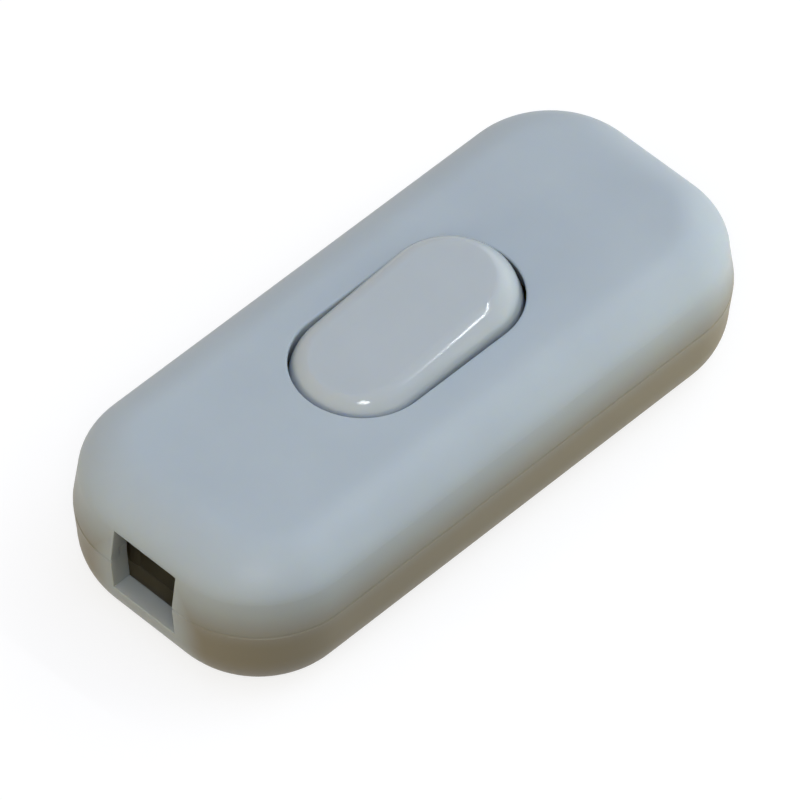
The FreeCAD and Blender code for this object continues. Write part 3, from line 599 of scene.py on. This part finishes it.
def rockerRows(inset, top, steps):
    # half length, half width and height, from the flat top over the roll and down the wall
    depth, fullness = rocker["rollDepth"], rocker["rollFullness"]
    rows = []
    for k in range(steps, -1, -1):
        share, rise = bezier((0, 0), (0, fullness), (1 - fullness, 1), (1, 1), k / steps)
        rows.append((share, top - depth * (1 - rise)))
    sides = (*rocker["sideRows"], rocker["skirtBottom"] + rocker["edge"])
    rows += [(0, z) for z in sides if z < rows[-1][1] - 2 * rocker["edge"]]
    return [(swingingHalf(rocker["length"], z) - inset - share * rocker["endRoll"],
             rocker["width"] / 2 - inset - share * rocker["sideRoll"], z) for share, z in rows]


def ribOutline(top, bottom, reach):
    # upright outline of a rib that ends half-way into the skirt and the rolled top
    lowest = bottom + rocker["ribClear"]
    side = [(row[reach], row[2]) for row in rockerRows(rocker["skirt"] / 2, top, 8) if row[2] > lowest]
    side.append((side[-1][0], bottom))
    return side + [(-x, z) for x, z in side[::-1]]


def makeRocker():
    top, skirt, bottom = rocker["top"], rocker["skirt"], rocker["skirtBottom"]
    rows = rockerRows(0, top, 20)
    flatLength, flatWidth, _ = rows[0]
    rings = [slotRing(flatLength - d, flatWidth - d, top) for d in (flatWidth, *rocker["topInsets"])]
    rings += [slotRing(*row) for row in rows]
    halfLength, halfWidth, _ = rows[-1]
    inner = rockerRows(skirt, top - rocker["roof"], 10)
    rings += [slotRing(halfLength - d, halfWidth - d, bottom) for d in (rocker["edge"], skirt)]
    rings += [slotRing(*row) for row in inner[::-1]]
    flatLength, flatWidth, ceiling = inner[0]
    rings.append(slotRing(flatLength - flatWidth, 0, ceiling))
    bm = bmesh.new()
    joinRings(bm, rings, False)
    bmesh.ops.remove_doubles(bm, verts=bm.verts, dist=closeEnough)
    button = newPiece("rockerButton", bm, glossyRocker, rocker["sharp"])

    grown, holes = bmesh.new(), bmesh.new()
    inside = rocker["width"] / 2 - skirt / 2
    half = rocker["rib"] / 2
    solid = ceiling + rocker["rootInRoof"]
    prism(grown, ribOutline(solid, rocker["ribBottom"], 0), -half, half, "Y")
    prism(grown, ribOutline(solid, pivotZ, 1), -half, half)
    turned(grown, [(rocker["postRadius"], rocker["postBottom"]), (rocker["postRadius"], solid)], (0, 0, 0))
    turned(holes, [(rocker["bore"], rocker["postBottom"] - 1), (rocker["bore"], rocker["boreTop"])],
           (0, 0, 0), steps=28)
    radius, end, chamfer = rocker["trunnion"], rocker["trunnionEnd"], rocker["trunnionChamfer"]
    for sign in (-1, 1):
        profile = [(radius, sign * inside), (radius, sign * (end - chamfer)), (radius - chamfer, sign * end)]
        turned(grown, profile, (0, 0, pivotZ), "Y", 28)
    moulded(button, grown, holes, rocker["sharp"])
    button.data.transform(rockerTilt)
    return button


# Screws and spring, by Geometry Nodes: each tree works in mm, and its result is kept as a plain mesh

def newTree(name, inputs):
    tree = bpy.data.node_groups.new(name, "GeometryNodeTree")
    kinds = {float: "NodeSocketFloat", int: "NodeSocketInt"}
    tree.interface.new_socket("Geometry", in_out="INPUT", socket_type="NodeSocketGeometry")
    for label, value in inputs.items():
        kind = kinds.get(type(value), "NodeSocketMaterial")
        tree.interface.new_socket(label, in_out="INPUT", socket_type=kind)
    tree.interface.new_socket("Geometry", in_out="OUTPUT", socket_type="NodeSocketGeometry")
    return tree, addNode(tree, "NodeGroupInput").outputs


def bakeTree(name, tree, points, inputs, sharp=30):
    start = bpy.data.meshes.new(name)
    start.from_pydata(points, [], [])
    piece = bpy.data.objects.new(name, start)
    bpy.context.scene.collection.objects.link(piece)
    step = piece.modifiers.new("tree", "NODES")
    step.node_group = tree
    sockets = {item.name: item.identifier for item in tree.interface.items_tree if item.in_out == "INPUT"}
    for label, value in inputs.items():
        step[sockets[label]] = value
    piece.data = bpy.data.meshes.new_from_object(piece.evaluated_get(bpy.context.evaluated_depsgraph_get()))
    piece.modifiers.clear()
    piece.data.transform(Matrix.Scale(mm, 4))
    piece.data.shade_smooth()
    piece.data.set_sharp_from_angle(angle=math.radians(sharp))
    print(name, len(piece.data.polygons), "faces")
    return piece


def standingTube(tree, sides, rows, low, high, radius):
    # closed tube from low to high, whose radius may change along it and around it
    tall = addNode(tree, "ShaderNodeMath", {0: high, 1: low}, operation="SUBTRACT")
    tube = addNode(tree, "GeometryNodeMeshCylinder", {
        "Vertices": sides, "Side Segments": rows, "Radius": 1.0, "Depth": tall}, fill_type="NGON")
    both = addNode(tree, "ShaderNodeMath", {0: low, 1: high}, operation="ADD")
    middle = addNode(tree, "ShaderNodeMath", {0: both, 1: 0.5}, operation="MULTIPLY")
    lift = addNode(tree, "ShaderNodeCombineXYZ", {2: middle})
    tube = addNode(tree, "GeometryNodeSetPosition", {"Geometry": tube.outputs["Mesh"], "Offset": lift})
    at = addNode(tree, "ShaderNodeSeparateXYZ", {0: addNode(tree, "GeometryNodeInputPosition")}).outputs
    out = [addNode(tree, "ShaderNodeMath", {0: at[axis], 1: radius}, operation="MULTIPLY") for axis in "XY"]
    moved = addNode(tree, "ShaderNodeCombineXYZ", {0: out[0], 1: out[1], 2: at["Z"]})
    return addNode(tree, "GeometryNodeSetPosition", {"Geometry": tube, "Position": moved})


def placedCopies(tree, given, body, turn):
    # a copy on each point of the input, real and with its material
    placed = addNode(tree, "GeometryNodeInstanceOnPoints", {
        "Points": given["Geometry"], "Instance": body, "Rotation": turn})
    real = addNode(tree, "GeometryNodeRealizeInstances", {0: placed})
    done = addNode(tree, "GeometryNodeSetMaterial", {"Geometry": real, "Material": given["Material"]})
    addNode(tree, "NodeGroupOutput", {0: done})


# mm; the seats and sizes of the heads come from the CAD screws
screwForm = {
    "shankSides": 32, "shankRows": 72, "headSides": 48, "headRows": 12, "rootInHead": 0.3,
    "headRound": 0.3, "point": 0.4, "pointSlope": 0.9, "slotWidth": 0.6, "slotDepth": 0.7, "spin": 1.5,
}


def screwTree():
    # head's seat at the origin, head upwards: rolled thread, rounded head, sawn slot or two
    form = screwForm
    sizes = ("Shank Radius", "Shank Length", "Thread Depth", "Pitch", "Head Radius", "Head Height",
             "Slot Width", "Slot Depth", "Slot Reach", "Cross Reach", "Flip")
    tree, given = newTree("slottedScrew", {**{size: 1.0 for size in sizes}, "Seed": 1, "Material": None})
    at = addNode(tree, "ShaderNodeSeparateXYZ", {0: addNode(tree, "GeometryNodeInputPosition")}).outputs
    known = {name: given[name] for name in sizes} | {axis: at[axis] for axis in "XYZ"}
    steps = (                                             # result, operation and its two terms
        ("low", "MULTIPLY", "Shank Length", -1.0),
        ("angle", "ARCTAN2", "Y", "X"),
        ("turns", "DIVIDE", "angle", 2 * math.pi),
        ("climb", "DIVIDE", "Z", "Pitch"),
        ("phase", "SUBTRACT", "climb", "turns"),
        ("wave", "PINGPONG", "phase", 0.5),
        ("share", "MULTIPLY", "wave", 2.0),
        ("groove", "MULTIPLY", "share", "Thread Depth"),
        ("overEnd", "SUBTRACT", "Z", "low"),
        ("toPoint", "SUBTRACT", form["point"], "overEnd"),
        ("inPoint", "MAXIMUM", "toPoint", 0.0),
        ("taper", "MULTIPLY", "inPoint", form["pointSlope"]),
        ("threaded", "SUBTRACT", "Shank Radius", "groove"),
        ("shankRadius", "SUBTRACT", "threaded", "taper"),
        ("roundStart", "SUBTRACT", "Head Height", form["headRound"]),
        ("overStart", "SUBTRACT", "Z", "roundStart"),
        ("rise", "MAXIMUM", "overStart", 0.0),
        ("riseSquared", "MULTIPLY", "rise", "rise"),
        ("left", "SUBTRACT", form["headRound"] ** 2 + closeEnough, "riseSquared"),
        ("rounding", "SQRT", "left"),
        ("flatRadius", "SUBTRACT", "Head Radius", form["headRound"]),
        ("headRadius", "ADD", "flatRadius", "rounding"),
        ("sawnDepth", "MULTIPLY", "Slot Depth", 2.0))
    for name, operation, *terms in steps:
        terms = {i: known.get(term, term) for i, term in enumerate(terms)}
        known[name] = addNode(tree, "ShaderNodeMath", terms, operation=operation)
    whole = addNode(tree, "GeometryNodeMeshBoolean", operation="UNION", solver="EXACT")
    for part in (
            standingTube(tree, form["shankSides"], form["shankRows"], known["low"], form["rootInHead"],
                         known["shankRadius"]),
            standingTube(tree, form["headSides"], form["headRows"], 0.0, known["Head Height"],
                         known["headRadius"])):
        tree.links.new(part.outputs[0], whole.inputs["Mesh 2"])
    cut = addNode(tree, "GeometryNodeMeshBoolean", {"Mesh 1": whole.outputs["Mesh"]},
                  operation="DIFFERENCE", solver="EXACT")
    lift = addNode(tree, "ShaderNodeCombineXYZ", {2: known["Head Height"]})
    for along, across in (("Slot Reach", "Slot Width"), ("Slot Width", "Cross Reach")):
        saw = addNode(tree, "ShaderNodeCombineXYZ", {
            0: known[along], 1: known[across], 2: known["sawnDepth"]})
        saw = addNode(tree, "GeometryNodeMeshCube", {"Size": saw})
        saw = addNode(tree, "GeometryNodeSetPosition", {"Geometry": saw.outputs["Mesh"], "Offset": lift})
        tree.links.new(saw.outputs[0], cut.inputs["Mesh 2"])
    spin = addNode(tree, "FunctionNodeRandomValue", {
        "Min": -form["spin"], "Max": form["spin"], "Seed": given["Seed"]}, data_type="FLOAT")
    spin = next(output for output in spin.outputs if output.enabled)
    turn = addNode(tree, "ShaderNodeCombineXYZ", {0: known["Flip"], 2: spin})
    placedCopies(tree, given, cut.outputs["Mesh"], turn)
    return tree


# thread: crest radius, depth and pitch; a cross reach no wider than the slot leaves one slot
screwKinds = {
    "terminalScrews": {
        "nodes": ["common_terminal_screw", "fixed_terminal_screw"],
        "shank": 1.25, "thread": 0.14, "pitch": 0.45, "head": 1.5,
        "reach": 6.0, "cross": 0.6, "flip": 0.0, "seed": 3},
    "throughScrews": {
        "nodes": ["neutral_screw_left", "neutral_screw_right", "earth_screw_left", "earth_screw_right"],
        "shank": 1.25, "thread": 0.14, "pitch": 0.45, "head": 1.5,
        "reach": 6.0, "cross": 0.6, "flip": 0.0, "seed": 8},
    "clampScrews": {
        "nodes": ["clamp_screw_left_front", "clamp_screw_left_back",
                  "clamp_screw_right_front", "clamp_screw_right_back"],
        "shank": 1.1, "thread": 0.25, "pitch": 0.9, "head": 1.5,
        "reach": 6.0, "cross": 0.6, "flip": 0.0, "seed": 5},
    "coverScrews": {
        "nodes": ["cover_screw_left", "cover_screw_right"],
        "shank": 1.35, "thread": 0.3, "pitch": 1.1, "head": 1.7,
        "reach": 3.0, "cross": 3.0, "flip": math.pi, "seed": 2},
}


def makeScrews(name, kind, tree):
    places = []
    for node in kind["nodes"]:
        low, high = (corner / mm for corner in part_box(node))
        seat = low.z + kind["head"] if kind["flip"] else high.z - kind["head"]
        places.append(((low.x + high.x) / 2, (low.y + high.y) / 2, seat))
    return bakeTree(name, tree, places, {
        "Shank Radius": kind["shank"], "Shank Length": high.z - low.z - kind["head"],
        "Thread Depth": kind["thread"], "Pitch": kind["pitch"],
        "Head Radius": (high.x - low.x) / 2, "Head Height": kind["head"],
        "Slot Width": screwForm["slotWidth"], "Slot Depth": screwForm["slotDepth"],
        "Slot Reach": kind["reach"], "Cross Reach": kind["cross"],
        "Flip": kind["flip"], "Seed": kind["seed"], "Material": zincScrew})


spring = {
    "coil": 1.15, "wire": 0.2, "pitch": 0.75, "bottom": 13.8, "top": 18.2,
    "turnSteps": 28, "wireSides": 12,
}


def springTree():
    tree, given = newTree("coilSpring", {
        "Coil Radius": 1.0, "Wire Radius": 1.0, "Turns": 1.0, "Rise": 1.0, "Material": None})
    helix = addNode(tree, "GeometryNodeCurveSpiral", {
        "Resolution": spring["turnSteps"], "Rotations": given["Turns"], "Start Radius": given["Coil Radius"],
        "End Radius": given["Coil Radius"], "Height": given["Rise"]})
    wire = addNode(tree, "GeometryNodeCurvePrimitiveCircle", {
        "Resolution": spring["wireSides"], "Radius": given["Wire Radius"]})
    swept = addNode(tree, "GeometryNodeCurveToMesh", {
        "Curve": helix, "Profile Curve": wire, "Fill Caps": True})
    placedCopies(tree, given, swept, (0, 0, 0))
    return tree


def makeSpring():
    low, high = spring["bottom"] + spring["wire"], spring["top"] - spring["wire"]
    coil = bakeTree("plungerSpring", springTree(), [(0, 0, low)], {
        "Coil Radius": spring["coil"], "Wire Radius": spring["wire"], "Turns": (high - low) / spring["pitch"],
        "Rise": high - low, "Material": springWire}, sharp=60)
    coil.data.transform(rockerTilt)
    return coil


upperShell = makeUpperShell()
lowerShell = makeLowerShell()
rockerButton = makeRocker()
slottedScrew = screwTree()
screwPieces = {name: makeScrews(name, kind, slottedScrew) for name, kind in screwKinds.items()}
plungerSpring = makeSpring()
for piece, material in ((upperShell, satinCover), (lowerShell, satinBase), (rockerButton, glossyRocker)):
    piece.data.materials.append(material)
    print(piece.name, len(piece.data.polygons), "faces")


# Who rides on what

pieces = [
    (upperShell, "housing", "upper_shell_plastic", ["upper_shell"]),
    (lowerShell, "housing", "lower_shell_plastic", ["lower_shell"]),
    (rockerButton, "rocker", "rocker_plastic", ["rocker_button"]),
    (plungerSpring, "rocker", "spring_steel", ["plunger_spring"]),
]
for name, piece in screwPieces.items():
    pieces.append((piece, "housing", "screw_steel", screwKinds[name]["nodes"]))
for piece, body, slot, stood in pieces:
    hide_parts(*stood)
    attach(piece, body)

keptNodes = {
    "switch_carrier": filledCarrier, "contact_plunger": acetalPlunger,
    "contact_lever": stampedBrass, "moving_contact_tip": silverContact, "fixed_contact_tip": silverContact,
    "common_terminal": stampedBrass, "fixed_terminal": stampedBrass, "neutral_block": stampedBrass,
    "earth_block": stampedBrass, "cord_clamp_left": nylonClamp, "cord_clamp_right": nylonClamp,
}
for name, material in keptNodes.items():
    nodes[name].material_slots[0].material = material
print("pieces placed")


# Floor, light and camera

# Floor in metres. Sky colours times strength are the radiance: a warm dim horizon under a cool zenith, and
# three broad soft lights, each with its azimuth and elevation in degrees; falloffs are powers of the cosine
room = {
    "floorSize": 3.0, "floorDrop": 0.00002, "floorTan": "#3a3020", "paperWhite": (0.3, 0.3, 0.3, 1),
    "paperGlow": 0.75,
    "strength": 0.78, "horizon": "#bea548", "zenith": "#beceff", "zenithFalloff": 2.0,
    "softLights": [(-70, 40, "#bfcbe0"), (-20, 25, "#d4e7e4"), (180, 15, "#d1d6cb")], "lightFalloff": 4.0,
}
# Place and size across and along in metres, power in watts and colour; each faces the switch with its
# long side along Y. The tube makes the streak on the rocker; the cards light the low ends, out of its gloss
lamps = {
    "streak tube": {
        "place": (0.0875, -0.085, 0.22), "size": (0.004, 0.13), "power": 0.065, "colour": "#f6faff"},
    "window box": {
        "place": (0.90, 0.10, 0.42), "size": (0.9, 0.9), "power": 1.6, "colour": "#f0f6ff"},
    "camera key": {
        "place": (-0.472, -0.459, 0.752), "size": (0.2, 0.2), "power": 1.7, "colour": "#ffffff"},
    "left card": {
        "place": (-0.90, 0.10, 0.12), "size": (0.5, 0.3), "power": 2.8, "colour": "#fff0d8", "unseen": True},
    "right card": {
        "place": (0.105, -0.085, 0.004), "size": (0.006, 0.05), "power": 0.065, "colour": "#fffdf4",
        "unseen": True},
}


def seenDirectly(tree):
    # 1 for camera, glossy and transmission rays, which see white, and 0 for light falling on the switch
    path = addNode(tree, "ShaderNodeLightPath").outputs
    seen = addNode(tree, "ShaderNodeMath", {0: path["Is Camera Ray"], 1: path["Is Glossy Ray"]},
                   operation="MAXIMUM")
    return addNode(tree, "ShaderNodeMath", {0: seen, 1: path["Is Transmission Ray"]}, operation="MAXIMUM")


def makeFloor():
    half, down = room["floorSize"] / 2, -room["floorDrop"]
    mesh = bpy.data.meshes.new("studioFloor")
    corners = [(-half, -half, down), (half, -half, down), (half, half, down), (-half, half, down)]
    mesh.from_pydata(corners, [], [(0, 1, 2, 3)])
    floor = bpy.data.objects.new("studioFloor", mesh)
    bpy.context.scene.collection.objects.link(floor)
    material = bpy.data.materials.new("pale studio paper")
    material.use_nodes = True
    tree = material.node_tree
    tree.nodes.clear()
    tan = addNode(tree, "ShaderNodeBsdfDiffuse", {"Color": fromHex(room["floorTan"])})
    white = addNode(tree, "ShaderNodeBsdfDiffuse", {"Color": room["paperWhite"]})
    glow = addNode(tree, "ShaderNodeEmission", {"Strength": room["paperGlow"]})
    paper = addNode(tree, "ShaderNodeAddShader", {0: white, 1: glow})
    mix = addNode(tree, "ShaderNodeMixShader", {0: seenDirectly(tree), 1: tan, 2: paper})
    addNode(tree, "ShaderNodeOutputMaterial", {"Surface": mix})
    mesh.materials.append(material)


def makeWorld():
    world = bpy.data.worlds.new("studio")
    bpy.context.scene.world = world
    world.use_nodes = True
    tree = world.node_tree
    tree.nodes.clear()
    way = addNode(tree, "ShaderNodeTexCoord").outputs["Generated"]
    up = addNode(tree, "ShaderNodeSeparateXYZ", {0: way}).outputs["Z"]
    up = addNode(tree, "ShaderNodeMath", {0: up, 1: 0.0}, operation="MAXIMUM")
    rise = addNode(tree, "ShaderNodeMath", {0: up, 1: room["zenithFalloff"]}, operation="POWER")
    sky = addNode(tree, "ShaderNodeMix", {0: rise, 6: fromHex(room["horizon"]), 7: fromHex(room["zenith"])},
                  data_type="RGBA").outputs[2]
    for azimuth, elevation, colour in room["softLights"]:
        a, e = math.radians(azimuth), math.radians(elevation)
        middle = (math.cos(a) * math.cos(e), math.sin(a) * math.cos(e), math.sin(e))
        facing = addNode(tree, "ShaderNodeVectorMath", {0: way, 1: middle}, operation="DOT_PRODUCT")
        facing = addNode(tree, "ShaderNodeMath", {0: facing.outputs["Value"], 1: 0.0}, operation="MAXIMUM")
        share = addNode(tree, "ShaderNodeMath", {0: facing, 1: room["lightFalloff"]}, operation="POWER")
        sky = addNode(tree, "ShaderNodeMix", {0: share, 6: sky, 7: fromHex(colour)},
                      data_type="RGBA", blend_type="ADD", clamp_factor=False).outputs[2]
    dim = addNode(tree, "ShaderNodeBackground", {"Color": sky, "Strength": room["strength"]})
    white = addNode(tree, "ShaderNodeBackground", {"Color": (1, 1, 1, 1), "Strength": 1.0})
    mix = addNode(tree, "ShaderNodeMixShader", {0: seenDirectly(tree), 1: dim, 2: white})
    addNode(tree, "ShaderNodeOutputWorld", {"Surface": mix})


def makeLamp(name, lamp):
    light = bpy.data.lights.new(name, "AREA")
    light.shape = "RECTANGLE"
    light.size, light.size_y = lamp["size"]
    light.energy = lamp["power"]
    light.color = fromHex(lamp["colour"])[:3]
    stand = bpy.data.objects.new(name, light)
    bpy.context.scene.collection.objects.link(stand)
    back = Vector(lamp["place"])
    long = (Vector((0, 1, 0)) - back * back.y / back.length_squared).normalized()
    turn = Matrix((long.cross(back.normalized()), long, back.normalized())).transposed().to_4x4()
    stand.matrix_world = Matrix.Translation(back) @ turn
    stand.visible_camera = False
    stand.visible_glossy = not lamp.get("unseen", False)


# degrees, and mm for the distance, the lens, the height it aims at and its shift across and up
view = {
    "azimuth": -45.82, "elevation": 48.77, "roll": 0.666,
    "distance": 1171.49, "lens": 489.6, "aim": (-0.6925, -1.3438), "aimHeight": 10,
}


def makeCamera():
    a, e, roll = (math.radians(view[key]) for key in ("azimuth", "elevation", "roll"))
    back = Vector((math.sin(a) * math.cos(e), -math.cos(a) * math.cos(e), math.sin(e)))
    right = Vector((math.cos(a), math.sin(a), 0))
    up = back.cross(right)
    across = right * math.cos(roll) + up * math.sin(roll)
    upward = up * math.cos(roll) - right * math.sin(roll)
    aim = Vector((0, 0, view["aimHeight"])) + across * view["aim"][0] + upward * view["aim"][1]
    data = bpy.data.cameras.new("camera")
    data.sensor_width = 36
    data.lens = view["lens"]
    data.clip_end = 20
    camera = bpy.data.objects.new("camera", data)
    bpy.context.scene.collection.objects.link(camera)
    turn = Matrix((across, upward, back)).transposed().to_4x4()
    camera.matrix_world = Matrix.Translation((aim + back * view["distance"]) * mm) @ turn
    bpy.context.scene.camera = camera


makeFloor()
makeWorld()
for name, lamp in lamps.items():
    makeLamp(name, lamp)
makeCamera()
bpy.context.scene.view_settings.view_transform = "Standard"
